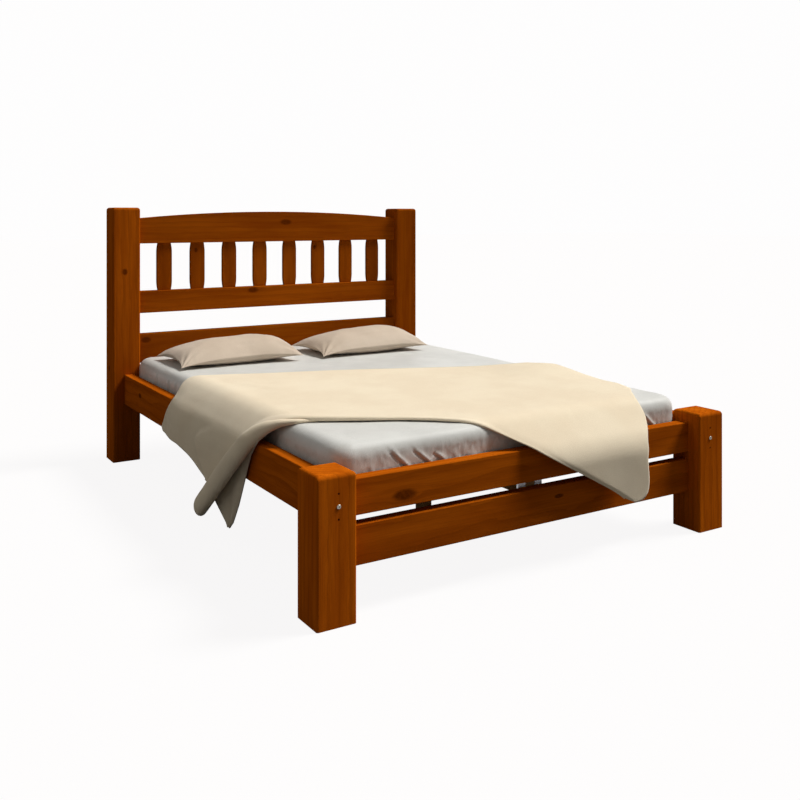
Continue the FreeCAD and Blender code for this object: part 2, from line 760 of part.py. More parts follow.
def oval(centre, across, depth, along):
    """An oval of four arcs round a sloping axis."""
    side = along.cross(Vector(1, 0, 0)).normalize() * (across / 2)
    out = Vector(depth / 2, 0, 0)
    lean = math.sqrt(1 / 2)
    ring = [side, (side + out) * lean, out, (out - side) * lean,
            side * -1, (side + out) * -lean, out * -1, (side - out) * lean]
    edges = []
    for number in range(0, len(ring), 2):
        after = ring[(number + 2) % len(ring)]
        edges.append(Part.Arc(centre + ring[number], centre + ring[number + 1], centre + after).toShape())
    return Part.Wire(edges)


def blanket_roll():
    """The edge of the blanket rolled over itself, down the left side."""
    inner_x = side_rail_outer_x + 2 * top_gap
    low_depth = min(blanket_roll_depth, side_rail_setback - blanket_post_gap)
    low = Vector(-inner_x - low_depth / 2, roll_low_shares[0] * mattress_length / 2,
                 roll_low_shares[1] * sheet_top)
    high = Vector(-inner_x - blanket_roll_root_depth / 2, roll_high_shares[0] * mattress_length / 2,
                  roll_high_shares[1] * sheet_top)
    along = (high - low).normalize()
    low_oval = oval(low, blanket_roll_width, low_depth, along)
    middle_oval = oval((low + high) / 2, (blanket_roll_width + blanket_roll_root_width) / 2,
                       (low_depth + blanket_roll_root_depth) / 2, along)
    high_oval = oval(high, blanket_roll_root_width, blanket_roll_root_depth, along)
    return beside_mattress(Part.makeLoft([low_oval, middle_oval, high_oval], True))


def blanket():
    return blanket_top().fuse([left_drape(), right_drape(), foot_drape(), blanket_roll()])


# Frame
for name, side in (("left", -1), ("right", 1)):
    save("head_post_" + name, post(side, True))
    save("foot_post_" + name, post(side, False))
    save("side_rail_" + name, side_rail(side))
    save("slat_ledger_" + name, ledger(side))
save("headboard_top_rail", head_top_rail())
save("headboard_middle_rail", head_middle_rail())
save("headboard_lower_rail", cross_rail(head_rail_front_y, head_rail_thickness, head_lower_rail_bottom,
                                        head_lower_rail_height))
save("head_end_rail", cross_rail(head_rail_front_y, head_rail_thickness, head_end_rail_bottom,
                                 head_end_rail_height).cut(hanger_screws(True)))
save("footboard_upper_rail", cross_rail(foot_rail_front_y, foot_rail_thickness, foot_upper_rail_bottom,
                                        foot_upper_rail_height).cut(hanger_screws(False)))
save("footboard_lower_rail", cross_rail(foot_rail_front_y, foot_rail_thickness, foot_lower_rail_bottom,
                                        foot_lower_rail_height).cut(hanger_screws(False)))
for number in range(head_slat_count):
    save("headboard_slat_" + str(number + 1), head_slat(number))

# Mattress base
for number in range(bed_slat_count):
    save("bed_slat_" + str(number + 1), bed_slat(number))
save("centre_beam", centre_beam())
save("beam_hanger_head", beam_hanger(True))
save("beam_hanger_foot", beam_hanger(False))
for number in (0, 1):
    save("centre_leg_" + str(number + 1), centre_leg(number))

# Fasteners
save("bed_bolts", Part.Compound(corner_group(bed_bolt)))
save("barrel_nuts", Part.Compound(corner_group(barrel_nut)))
dowels = [rail_dowel(*start) for group in corner_group(dowel_starts) for start in group]
save("rail_dowels", Part.Compound(dowels))
save("ledger_screws", Part.Compound(ledger_screws()))
save("bed_slat_screws", Part.Compound(bed_slat_screws()))
save("hanger_screws", Part.Compound(hanger_screws(True) + hanger_screws(False)))
save("leg_screws", Part.Compound(leg_screws()))

# Bedding
save("mattress", mattress())
save("fitted_sheet", fitted_sheet())
for name, side in (("left", -1), ("right", 1)):
    save("pillow_" + name, pillow(side))
    save("pillowcase_" + name, pillow_case(side))
save("blanket", blanket())
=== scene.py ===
import math

import bmesh
import bpy
import numpy as np
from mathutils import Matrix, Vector, noise


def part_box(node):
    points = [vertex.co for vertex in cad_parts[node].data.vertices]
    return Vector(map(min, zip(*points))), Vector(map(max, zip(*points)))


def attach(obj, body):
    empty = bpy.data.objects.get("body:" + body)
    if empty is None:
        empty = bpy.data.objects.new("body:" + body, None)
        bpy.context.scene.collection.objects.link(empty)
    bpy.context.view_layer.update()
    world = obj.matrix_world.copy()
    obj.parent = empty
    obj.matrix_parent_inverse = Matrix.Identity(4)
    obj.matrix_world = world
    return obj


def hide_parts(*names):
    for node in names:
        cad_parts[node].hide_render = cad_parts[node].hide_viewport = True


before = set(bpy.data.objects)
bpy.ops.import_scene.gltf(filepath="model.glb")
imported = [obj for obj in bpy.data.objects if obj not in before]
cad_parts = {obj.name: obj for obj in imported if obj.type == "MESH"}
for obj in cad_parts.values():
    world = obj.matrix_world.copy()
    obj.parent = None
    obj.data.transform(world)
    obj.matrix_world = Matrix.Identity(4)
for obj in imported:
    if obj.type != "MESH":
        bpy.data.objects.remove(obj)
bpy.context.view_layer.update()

IMAGE = 800                       # the photo's width and height in pixels

SHEET_LOW, SHEET_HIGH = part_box("fitted_sheet")
MATTRESS_LOW, MATTRESS_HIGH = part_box("mattress")
TOP = SHEET_HIGH.z                # the top of the sheet, on which the bedding lies


# Camera, lamps and floor

def make_camera():
    """The photo's camera, solved from the straight edges of the frame."""
    focal, horizon = 938.615, 214.671       # pixels: the focal length, and the horizon's row
    place, heading = (-1.9037, -3.2506, 1.0952), -31.843
    data = bpy.data.cameras.new("camera")
    data.sensor_width = 36.0
    data.lens = focal / IMAGE * data.sensor_width
    data.shift_y = (horizon - IMAGE / 2) / IMAGE
    data.clip_end = 200.0
    camera = bpy.data.objects.new("camera", data)
    camera.location = place
    camera.rotation_euler = (math.radians(90), 0, math.radians(heading))
    bpy.context.scene.collection.objects.link(camera)
    bpy.context.scene.camera = camera


def put(tree, socket, value):
    """Link an input to another node's socket, or give it a plain value."""
    if isinstance(value, bpy.types.NodeSocket):
        tree.links.new(value, socket)
    else:
        socket.default_value = value


def node(tree, kind, inputs=None, **settings):
    """A shader node. Its inputs are sockets of other nodes, or plain values."""
    made = tree.nodes.new(kind)
    for name, value in settings.items():
        setattr(made, name, value)
    for name, value in (inputs or {}).items():
        put(tree, made.inputs[name], value)
    return made


def combine(tree, operation, a, b):
    """Arithmetic on two numbers."""
    return node(tree, "ShaderNodeMath", {0: a, 1: b}, operation=operation).outputs[0]


def mix_shaders(tree, share, a, b):
    return node(tree, "ShaderNodeMixShader", {0: share, 1: a.outputs[0], 2: b.outputs[0]})


def seen_directly(tree):
    """1 for rays that show the background itself: from the camera, or by way of metal or glass."""
    path = node(tree, "ShaderNodeLightPath").outputs
    first = combine(tree, "MAXIMUM", path["Is Camera Ray"], path["Is Glossy Ray"])
    return combine(tree, "MAXIMUM", first, path["Is Transmission Ray"])


def make_lamp(name, towards, energy, angle, colour):
    """A distant lamp that lights the whole scene evenly from one side."""
    data = bpy.data.lights.new(name, "SUN")
    data.energy = energy
    data.angle = math.radians(angle)
    data.color = colour
    lamp = bpy.data.objects.new(name, data)
    lamp.rotation_euler = Vector(towards).to_track_quat("Z", "Y").to_euler()
    bpy.context.scene.collection.objects.link(lamp)


def make_lights():
    """A large soft sun from the right, and warm light that fills the shadows."""
    warm = (1.0, 0.965, 0.90)
    make_lamp("sun", (0.75, -0.20, 1.0), 3.60, 20, (1.0, 0.985, 0.955))
    make_lamp("fill", (-1.0, 0.10, 0.8), 0.24, 50, warm)

    world = bpy.data.worlds.new("world")
    bpy.context.scene.world = world
    world.use_nodes = True
    tree = world.node_tree
    tree.nodes.clear()
    light = node(tree, "ShaderNodeBackground", {"Color": warm + (1,), "Strength": 0.12})
    white = node(tree, "ShaderNodeBackground", {"Color": (0.99, 0.985, 0.985, 1), "Strength": 1.0})
    mix = mix_shaders(tree, seen_directly(tree), light, white)
    node(tree, "ShaderNodeOutputWorld", {"Surface": mix.outputs[0]})


def make_floor():
    """A floor as white as the photo's ground, with a faint shadow; it throws back little light."""
    size, gap = 40.0, 0.0005                # half its width, and how far it lies below the posts
    mesh = bpy.data.meshes.new("floor")
    mesh.from_pydata([(-size, -size, 0), (size, -size, 0), (size, size, 0), (-size, size, 0)], [],
                     [(0, 1, 2, 3)])
    floor = bpy.data.objects.new("floor", mesh)
    floor.location.z = -gap
    bpy.context.scene.collection.objects.link(floor)
    material = bpy.data.materials.new("floor")
    material.use_nodes = True
    tree = material.node_tree
    tree.nodes.clear()
    pale = node(tree, "ShaderNodeBsdfDiffuse", {"Color": (0.95, 0.945, 0.94, 1)})
    glow = node(tree, "ShaderNodeEmission", {"Color": (0.99, 0.98, 0.98, 1), "Strength": 1.0})
    shown = mix_shaders(tree, 0.93, pale, glow)
    grey = node(tree, "ShaderNodeBsdfDiffuse", {"Color": (0.12, 0.117, 0.113, 1)})
    mix = mix_shaders(tree, seen_directly(tree), grey, shown)
    node(tree, "ShaderNodeOutputMaterial", {"Surface": mix.outputs[0]})
    mesh.materials.append(material)


# Materials

def linear(text):
    """A colour written as on the web, in the renderer's linear values."""
    values = [int(text[k:k + 2], 16) / 255 for k in (1, 3, 5)]
    return tuple(v / 12.92 if v <= 0.04045 else ((v + 0.055) / 1.055) ** 2.4 for v in values) + (1,)


def dimmed(colour, share):
    return tuple(c * share for c in colour[:3]) + (1,)


def new_material(name):
    """A material, its node tree, its one shader, and the place on the piece for its textures."""
    material = bpy.data.materials.new(name)
    material.use_nodes = True
    tree = material.node_tree
    tree.nodes.clear()
    shader = node(tree, "ShaderNodeBsdfPrincipled")
    node(tree, "ShaderNodeOutputMaterial", {"Surface": shader.outputs[0]})
    place = node(tree, "ShaderNodeTexCoord").outputs["Object"]
    return material, tree, shader, place


def vector_math(tree, operation, a, b=None, scale=None):
    made = node(tree, "ShaderNodeVectorMath", {0: a}, operation=operation)
    if b is not None:
        put(tree, made.inputs[1], b)
    if scale is not None:
        put(tree, made.inputs["Scale"], scale)
    return made.outputs["Value" if operation == "LENGTH" else 0]


def smooth(tree, value, low, high, to_low=0.0, to_high=1.0):
    """to_low where the value is at low, to_high where it is at high, smooth between."""
    made = node(tree, "ShaderNodeMapRange", {"Value": value, "From Min": low, "From Max": high,
                                             "To Min": to_low, "To Max": to_high},
                interpolation_type="SMOOTHSTEP")
    return made.outputs["Result"]


def noise_texture(tree, place, scale, detail=2.0, roughness=0.5):
    return node(tree, "ShaderNodeTexNoise", {"Vector": place, "Scale": scale, "Detail": detail,
                                             "Roughness": roughness}).outputs["Fac"]


def mix_colour(tree, factor, a, b):
    made = node(tree, "ShaderNodeMix", data_type="RGBA")
    put(tree, made.inputs["Factor"], factor)
    colours = [socket for socket in made.inputs if socket.type == "RGBA"]
    for socket, value in zip(colours, (a, b)):
        put(tree, socket, value)
    return [socket for socket in made.outputs if socket.type == "RGBA"][0]


def add_bump(tree, shader, height, strength, distance):
    bump = node(tree, "ShaderNodeBump", {"Height": height, "Strength": strength,
                                         "Distance": distance})
    tree.links.new(bump.outputs[0], shader.inputs["Normal"])


def bend_round_knots(tree, place, knots):
    """The place with the grain pushed aside by each knot, and a mask of the knots, or None."""
    reach, pull = 2.4, 0.65                 # in radii of the knot; share of the way
    flow, mask = place, None
    for centre, radii in knots:
        offset = vector_math(tree, "SUBTRACT", place, centre)
        away = vector_math(tree, "LENGTH", vector_math(tree, "DIVIDE", offset, radii))
        near = combine(tree, "MULTIPLY", smooth(tree, away, reach, 0.0), pull)
        flow = vector_math(tree, "SUBTRACT", flow, vector_math(tree, "SCALE", offset, scale=near))
        spot = smooth(tree, away, 1.15, 0.55)
        mask = spot if mask is None else combine(tree, "MAXIMUM", mask, spot)
    return flow, mask


def wood_material(name, grain, light, dark, line, knots=(), rough=0.5, shine=0.0):
    """Sawn pine: growth rings and fibres run along the grain, and bend round each knot."""
    material, tree, shader, place = new_material(name)
    light, dark, line = linear(light), linear(dark), linear(line)
    flow, knot_mask = bend_round_knots(tree, place, knots)

    def stretched(along):
        scale = tuple(along if axis == grain else 1.0 for axis in "XYZ")
        return vector_math(tree, "MULTIPLY", flow, scale)

    angles = zip("XYZ", (0.035, 0.028, 0.04))
    tilt = tuple(0.0 if axis == grain else angle for axis, angle in angles)
    turned = node(tree, "ShaderNodeMapping", {"Vector": stretched(0.16), "Rotation": tilt,
                                              "Location": (0.013, 0.021, 0.017)}).outputs[0]
    rings = node(tree, "ShaderNodeTexWave", {"Vector": turned, "Scale": 17.0, "Distortion": 3.5,
                                             "Detail": 1.5, "Detail Scale": 2.0,
                                             "Detail Roughness": 0.55},
                 wave_type="RINGS", rings_direction=grain, wave_profile="SAW").outputs["Fac"]
    clouds = noise_texture(tree, stretched(0.12), 16.0, 4.0, 0.6)
    fibres = noise_texture(tree, stretched(0.02), 330.0, 3.0, 0.65)
    colour = mix_colour(tree, smooth(tree, clouds, 0.30, 0.70), dark, light)
    ring_line = smooth(tree, rings, 0.45, 1.0, 0.0, 0.27)
    colour = mix_colour(tree, ring_line, colour, line)
    colour = mix_colour(tree, smooth(tree, fibres, 0.34, 0.62, 0.22, 0.0), colour, line)
    if knot_mask is not None:
        strength = smooth(tree, noise_texture(tree, place, 120.0), 0.2, 0.8, 0.66, 0.96)
        share = combine(tree, "MULTIPLY", knot_mask, strength)
        colour = mix_colour(tree, share, colour, dimmed(line, 0.55))
    tree.links.new(colour, shader.inputs["Base Color"])
    roughness = smooth(tree, fibres, 0.3, 0.7, rough + 0.10, rough - 0.04)
    tree.links.new(roughness, shader.inputs["Roughness"])
    shader.inputs["Specular IOR Level"].default_value = shine
    add_bump(tree, shader, combine(tree, "SUBTRACT", fibres, ring_line), 0.30, 0.0006)
    return material


def cloth_material(name, colour, shade, rough, sheen, shine, thread, nap):
    """Woven cloth: threads both ways, slow changes of colour, and a nap."""
    material, tree, shader, place = new_material(name)
    colour, shade = linear(colour), linear(shade)
    slow = noise_texture(tree, place, 5.5, 4.0, 0.55)
    fine = noise_texture(tree, place, 0.55 / thread, 4.0, 0.7)
    waves = [node(tree, "ShaderNodeTexWave", {"Vector": place, "Scale": 0.314 / thread,
                                              "Distortion": 0.6, "Detail": 1.0},
                  wave_type="BANDS", bands_direction=direction).outputs["Fac"]
             for direction in "XYZ"]
    weave = combine(tree, "ADD", combine(tree, "MULTIPLY", waves[0], waves[1]), waves[2])
    mixed = mix_colour(tree, smooth(tree, slow, 0.32, 0.68), shade, colour)
    threads = smooth(tree, fine, 0.30, 0.70, 0.16, 0.0)
    mixed = mix_colour(tree, threads, mixed, dimmed(shade, 0.62))
    tree.links.new(mixed, shader.inputs["Base Color"])
    shader.inputs["Roughness"].default_value = rough
    shader.inputs["Specular IOR Level"].default_value = shine
    shader.inputs["Sheen Weight"].default_value = sheen
    shader.inputs["Sheen Roughness"].default_value = 0.5
    height = combine(tree, "ADD", combine(tree, "MULTIPLY", weave, 0.35),
                     combine(tree, "MULTIPLY", fine, nap))
    add_bump(tree, shader, height, 0.35, thread * 0.6)
    return material


def metal_material(name, colour, rough, scratch):
    """Plated steel with fine scratches."""
    material, tree, shader, place = new_material(name)
    colour = linear(colour)
    grain = noise_texture(tree, place, scratch, 3.0)
    mixed = mix_colour(tree, smooth(tree, grain, 0.3, 0.7), dimmed(colour, 0.8), colour)
    tree.links.new(mixed, shader.inputs["Base Color"])
    roughness = smooth(tree, grain, 0.3, 0.7, rough + 0.12, rough)
    tree.links.new(roughness, shader.inputs["Roughness"])
    shader.inputs["Metallic"].default_value = 1.0
    add_bump(tree, shader, grain, 0.1, 0.0002)
    return material


def wear(key, names):
    """Give CAD nodes a material."""
    for name in names:
        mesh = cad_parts[name].data
        if not mesh.materials:
            mesh.materials.append(MATERIALS[key])
        for k in range(len(mesh.materials)):
            mesh.materials[k] = MATERIALS[key]


# Mesh helpers

def grid_faces(rows, columns, closed=False):
    """Quads of a grid kept row by row. A closed grid joins its last column to its first."""
    faces = []
    for j in range(rows - 1):
        here, after = j * columns, (j + 1) * columns
        for i in range(columns if closed else columns - 1):
            k = (i + 1) % columns
            faces.append((here + i, here + k, after + k, after + i))
    return faces


def mesh_object(name, points, faces, material, body):
    """A smooth-shaded piece that rides on a body."""
    mesh = bpy.data.meshes.new(name)
    mesh.from_pydata([tuple(p) for p in points], [], faces)
    mesh.validate()
    mesh.polygons.foreach_set("use_smooth", [True] * len(mesh.polygons))
    mesh.materials.append(material)
    piece = bpy.data.objects.new(name, mesh)
    bpy.context.scene.collection.objects.link(piece)
    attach(piece, body)
    return piece


def merge_close(piece, distance):
    """Join points that fall together, and turn all faces outwards."""
    made = bmesh.new()
    made.from_mesh(piece.data)
    bmesh.ops.remove_doubles(made, verts=made.verts, dist=distance)
    bmesh.ops.dissolve_degenerate(made, edges=made.edges, dist=distance / 2)
    bmesh.ops.recalc_face_normals(made, faces=made.faces)
    made.to_mesh(piece.data)
    made.free()


def orient_up(piece):
    """Turn the faces of a draped skin so that its outer side faces up and out."""
    made = bmesh.new()
    made.from_mesh(piece.data)
    bmesh.ops.recalc_face_normals(made, faces=made.faces)
    best = max(made.faces, key=lambda face: face.calc_area() * abs(face.normal.z))
    if best.normal.z < 0:
        bmesh.ops.reverse_faces(made, faces=made.faces)
    made.to_mesh(piece.data)
    made.free()


def face_out(piece, way):
    """Turn the faces of a hanging skin so that most of them face that way."""
    mesh = piece.data
    total = sum((face.normal.dot(way) * face.area for face in mesh.polygons), 0.0)
    if total < 0:
        mesh.flip_normals()


def thicken(piece, thickness):
    """Give a skin its thickness, on the inner side of its faces."""
    modifier = piece.modifiers.new("thickness", "SOLIDIFY")
    modifier.thickness = thickness
    modifier.offset = -1


def step(value, low, high):
    """0 below low, 1 above high, smooth between."""
    share = np.clip((np.asarray(value, float) - low) / (high - low), 0, 1)
    return share * share * (3 - 2 * share)


def unit(vectors):
    return vectors / np.linalg.norm(vectors, axis=1, keepdims=True)


def ripple(points, size, seed):
    """Smooth noise between -1 and 1 at each point, with features of that size."""
    start = Vector((seed, seed * 1.7, seed * 0.6))
    return np.array([noise.noise(Vector(p) / size + start) for p in points])


def smooth_curve(points, count, rounds):
    """Evenly spaced points along a path, with its corners eased; more rounds ease them more."""
    def even(path, many):
        steps = np.linalg.norm(np.diff(path, axis=0), axis=1)
        lengths = np.concatenate([[0], np.cumsum(steps)])
        fine = np.linspace(0, lengths[-1], many)
        return np.stack([np.interp(fine, lengths, column) for column in path.T], 1)

    path = even(np.array(points, float), 400)
    for _ in range(rounds):
        path[1:-1] = (path[:-2] + 2 * path[1:-1] + path[2:]) / 4
    return even(path, count)


# Mattress and fitted sheet

def outline(half_x, half_y, radius, per_side, per_corner):
    """Points round a rectangle with round corners, counter-clockwise from its right side."""
    radius = max(min(radius, half_x, half_y), 0.0)
    points = []
    corners = ((half_x - radius, half_y - radius, 0), (radius - half_x, half_y - radius, 90),
               (radius - half_x, radius - half_y, 180), (half_x - radius, radius - half_y, 270))
    for number, (x, y, start) in enumerate(corners):
        for k in range(per_corner):
            turn = math.radians(start + 90 * k / per_corner)
            points.append((x + radius * math.cos(turn), y + radius * math.sin(turn)))
        turn = math.radians(start + 90)
        here = (x + radius * math.cos(turn), y + radius * math.sin(turn))
        next_x, next_y, _ = corners[(number + 1) % 4]
        after = (next_x + radius * math.cos(turn), next_y + radius * math.sin(turn))
        for k in range(per_side):
            share = k / per_side
            points.append((here[0] + (after[0] - here[0]) * share,
                           here[1] + (after[1] - here[1]) * share))
    return points


def block_rings(low, high, corner, profile, per_side, per_corner):
    """Rings of a mattress-shaped block. The profile lists inset and height of each ring."""
    middle = (low + high) / 2
    half_x, half_y = (high.x - low.x) / 2, (high.y - low.y) / 2
    sharpest = 0.004                        # the smallest radius of a ring's corners
    rows = []
    for inset, z in profile:
        radius = max(corner - inset * 0.9, sharpest)
        ring = outline(half_x - inset, half_y - inset, radius, per_side, per_corner)
        rows.append([(middle.x + x, middle.y + y, z) for x, y in ring])
    return np.array(rows)


def arc_profile(inset, z, radius, start, end, count):
    """Inset and height along a part of a round edge, between two angles in degrees."""
    found = []
    for k in range(count + 1):
        turn = math.radians(start + (end - start) * k / count)
        found.append((inset - radius * math.cos(turn), z + radius * math.sin(turn)))
    return found


def make_mattress():
    """The mattress, a little smaller than its solid where the taut sheet presses it in."""
    edge, corner = 0.042, 0.06
    squeeze = Vector((0.006, 0.006, 0))
    low, high = MATTRESS_LOW + squeeze, MATTRESS_HIGH - squeeze - Vector((0, 0, 0.002))
    half_x = (high.x - low.x) / 2
    insets = [half_x * k / 12 for k in range(1, 13) if half_x * k / 12 > edge]
    profile = [(inset, low.z) for inset in reversed(insets)]
    profile += arc_profile(edge, low.z + edge, edge, -90, 0, 6)
    profile += [(0.0, low.z + edge + (high.z - low.z - 2 * edge) * k / 5) for k in range(1, 5)]
    profile += arc_profile(edge, high.z - edge, edge, 0, 90, 6)
    profile += [(inset, high.z) for inset in insets]
    rows = block_rings(low, high, corner, profile, 40, 8)
    points = rows.reshape(-1, 3)
    quilt = np.sin(points[:, 0] * 32) * np.sin(points[:, 1] * 32)
    flat_below = points[:, 2] < low.z + 0.0005
    points[:, 2] += np.where(flat_below, 0.0015 * (1 - np.abs(quilt)), 0)
    piece = mesh_object("mattress_pad", points, grid_faces(len(rows), rows.shape[1], True),
                        MATERIALS["mattress"], "mattress")
    merge_close(piece, 0.0004)
    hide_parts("mattress")


# Creases in the sheet's front: X and Z of the upper end, then of the lower end
FOOT_CREASES = ((-0.515, 0.418, -0.461, 0.367), (-0.430, 0.407, -0.388, 0.372),
                (-0.363, 0.392, -0.339, 0.374), (0.490, 0.415, 0.545, 0.365),
                (0.430, 0.400, 0.470, 0.370))
# Bright gathers on the sheet's left side: Y of each, then the height of their middle and half
# their length, and how far they stand out
SIDE_RIDGES = (0.646, 0.494, 0.406)
RIDGE_Z, RIDGE_HALF, RIDGE_OUT = 0.402, 0.026, 0.0062


def sheet_gathers(x, y, z, depth, low, high):
    """How far the sheet's sides stand out: fine pleats, creases in front, gathers on the left."""
    pleat_depth, crease_depth = 0.0042, 0.0068
    side = step(depth, 0.10, 0.40) * (1 - 0.55 * step(depth, 0.75, 1.0))
    along = np.where(np.abs(x) / (high.x - low.x) > np.abs(y) / (high.y - low.y), y, x)
    spots = np.stack([along, np.sign(x) * 0.7 + np.sign(y), depth * 0.10], 1)
    pleats = ripple(spots, 0.021, 3.1) * 0.6 + ripple(spots, 0.010, 7.7) * 0.4
    strength = 0.45 + 0.55 * np.abs(ripple(spots, 0.22, 1.3))
    move = (pleats - 0.35) * pleat_depth * strength * side
    for start_x, start_z, end_x, end_z in FOOT_CREASES:
        share = np.clip((start_z - z) / (start_z - end_z), -0.3, 1.3)
        off = x - (start_x + (end_x - start_x) * share)
        fold = np.exp(-(off / 0.0045) ** 2) - 0.6 * np.exp(-((off - 0.012) / 0.007) ** 2)
        fade = step(share, -0.3, 0.3) * (1 - step(share, 0.9, 1.3))
        on_foot = (y < low.y + 0.04) & (share > -0.3)
        move -= np.where(on_foot, fold * crease_depth * fade, 0)
    for place in SIDE_RIDGES:
        lens = np.sqrt(np.clip(1 - ((z - RIDGE_Z) / RIDGE_HALF) ** 2, 0, 1))
        across = y - place
        ridge = np.exp(-(across / np.where(across < 0, 0.0060, 0.0120)) ** 2)
        shown = move * (1 - ridge * lens) + ridge * lens * RIDGE_OUT
        move = np.where(x < low.x + 0.04, shown, move)
    return np.clip(move, -0.0080, RIDGE_OUT)


def make_sheet():
    """The satin sheet: taut on top, gathered down the sides, with its hem drawn in below."""
    low = Vector((SHEET_LOW.x, SHEET_LOW.y, MATTRESS_LOW.z))
    high = SHEET_HIGH
    edge, corner, drop = 0.046, 0.065, high.z - low.z
    hem, hem_top, sides = 0.028, 0.029, 15
    half_x = (high.x - low.x) / 2
    profile = arc_profile(hem, low.z + hem_top, hem, -62, 0, 5)
    profile += [(0.0, low.z + hem_top + (drop - hem_top - edge) * k / sides)
                for k in range(1, sides)]
    profile += arc_profile(edge, high.z - edge, edge, 0, 90, 8)
    profile += [(edge + (half_x - edge) * (k / 34) ** 1.15, high.z) for k in range(1, 35)]
    rows = block_rings(low, high, corner, profile, 330, 12)
    points = rows.reshape(-1, 3)
    x, y, z = points.T
    depth = (high.z - z) / drop
    out = np.stack([np.sign(x) * step(np.abs(x), high.x - edge, high.x - 0.020),
                    np.sign(y) * step(np.abs(y), high.y - edge, high.y - 0.020),
                    np.zeros_like(x)], 1)
    out /= np.maximum(np.linalg.norm(out, axis=1, keepdims=True), 1)
    points += out * sheet_gathers(x, y, z, depth, low, high)[:, None]
    on_top = step(-depth, -0.04, 0.0)
    sag = 0.5 + 0.5 * ripple(np.stack([x, y, x * 0], 1), 0.24, 5.0)
    creases = np.abs(ripple(np.stack([x + 0.5 * y, y * 0.45, x * 0], 1), 0.13, 9.0))
    points[:, 2] -= on_top * (0.0010 * sag + 0.0012 * np.exp(-creases * 9))
    piece = mesh_object("satin_sheet", points, grid_faces(len(rows), rows.shape[1], True),
                        MATERIALS["sheet"], "mattress")
    merge_close(piece, 0.0004)
    thicken(piece, 0.0012)
    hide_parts("fitted_sheet")


# Pillows

PILLOW_LENGTH, PILLOW_WIDTH = 0.550, 0.350
PILLOW_TURN = math.radians(-1)              # how far they lie turned on the bed
PILLOW_GAP, PILLOW_ROOM = 0.0006, 0.001     # above the sheet, and off the solid's whole height
# A pillow's swelling along its length and across it, between its seams at -1 and 1
ALONG = ((-1, 0), (-0.9, 0.33), (-0.75, 0.55), (-0.5, 0.74), (-0.25, 0.87), (0, 0.95), (0.3, 1.0),
         (0.6, 0.97), (0.8, 0.80), (0.9, 0.58), (0.96, 0.34), (1, 0))
ACROSS = ((-1, 0), (-0.9, 0.31), (-0.75, 0.57), (-0.5, 0.82), (-0.25, 0.96), (0, 1.0),
          (0.25, 0.96), (0.5, 0.82), (0.75, 0.57), (0.9, 0.31), (1, 0))


def seamed(count, share):
    """Numbers from -1 to 1 that lie closer together towards both ends."""
    return (np.sin(np.linspace(-1, 1, count) * math.pi / 2 * share)
            / math.sin(math.pi / 2 * share))


def eased(profile, at):
    """A profile given at a few places, read smoothly anywhere between -1 and 1."""
    fine = np.linspace(-1, 1, 401)
    values = np.interp(fine, [p[0] for p in profile], [p[1] for p in profile])
    for _ in range(90):
        values[1:-1] = (values[:-2] + 2 * values[1:-1] + values[2:]) / 4
    return np.interp(at, fine, values)


def corner_pull(x, y, half_x, half_y, seed):
    """Creases that run in from the pillow's four corners."""
    pull = np.zeros_like(x)
    for end_x in (-1, 1):
        for end_y in (-1, 1):
            dx, dy = x - end_x * half_x, y - end_y * half_y
            angle = np.arctan2(np.abs(dy), np.abs(dx))
            crease = np.sin(angle * 15 + seed * 2 + end_x) * np.sin(angle * 2)
            pull += crease * np.exp(-((np.hypot(dx, dy) - 0.055) / 0.05) ** 2) * 0.0030
    return pull


def pillow_skins(half_x, half_y, total, seed, shoulder):
    """X and Y over a filled pillow as a grid, and the heights of its upper and its lower skin."""
    u, v = np.meshgrid(seamed(72, 0.94), seamed(50, 0.90))
    x = u * (half_x - 0.018 * (1 - v ** 4))
    y = v * (half_y - 0.016 * (1 - u ** 4) - 0.003 * np.sin(u * 5 + seed))
    right, back = (u + 1) / 2, (v + 1) / 2
    corners = (1 - right) * (0.009 + 0.007 * back) + right * (0.022 + 0.005 * back)
    seam = corners + 0.020 * (1 - np.abs(u) ** 3) + 0.026 * (1 - v * v) * np.abs(u) ** 2
    roof = np.minimum((1 - np.abs(u)) * half_x / half_y, 1 - np.abs(v))
    crown = eased(ALONG, u) - shoulder * (0.07 * np.exp(-((u - 0.25) / 0.35) ** 2)
                                          - 0.08 * np.exp(-((u - 0.80) / 0.12) ** 2))
    swell = 0.72 * crown * eased(ACROSS, v) + 0.28 * np.clip(roof, 0, 1) ** 0.85
    upper = seam * (1 - swell) + total * swell
    lower = seam * (1 - np.clip(((1 - u * u) * (1 - v * v)) ** 0.42 * 1.30, 0, 1))
    flat = np.stack([x, y, np.zeros_like(x)], -1).reshape(-1, 3)
    soft = ripple(flat, 0.11, seed).reshape(x.shape) * 0.0035
    soft += ripple(flat, 0.045, seed + 4).reshape(x.shape) * 0.0010
    pull = corner_pull(x, y, half_x, half_y, seed)
    from_end, from_side = (1 - np.abs(u)) * half_x, (1 - np.abs(v)) * half_y
    edge = np.minimum(from_end, from_side)
    along = np.where(from_end < from_side, y, x)
    pucker = np.sin(along * 260 + 2.5 * np.sin(along * 45 + seed)) * np.exp(-edge / 0.016) * 0.0012
    fade = np.clip(edge / 0.012, 0, 1)
    upper = upper + (soft * 1.2 + pull + pucker) * fade
    lower = np.maximum(lower + (pull + pucker) * fade * 0.4, 0.0)
    return x, y, upper, np.minimum(lower, upper)


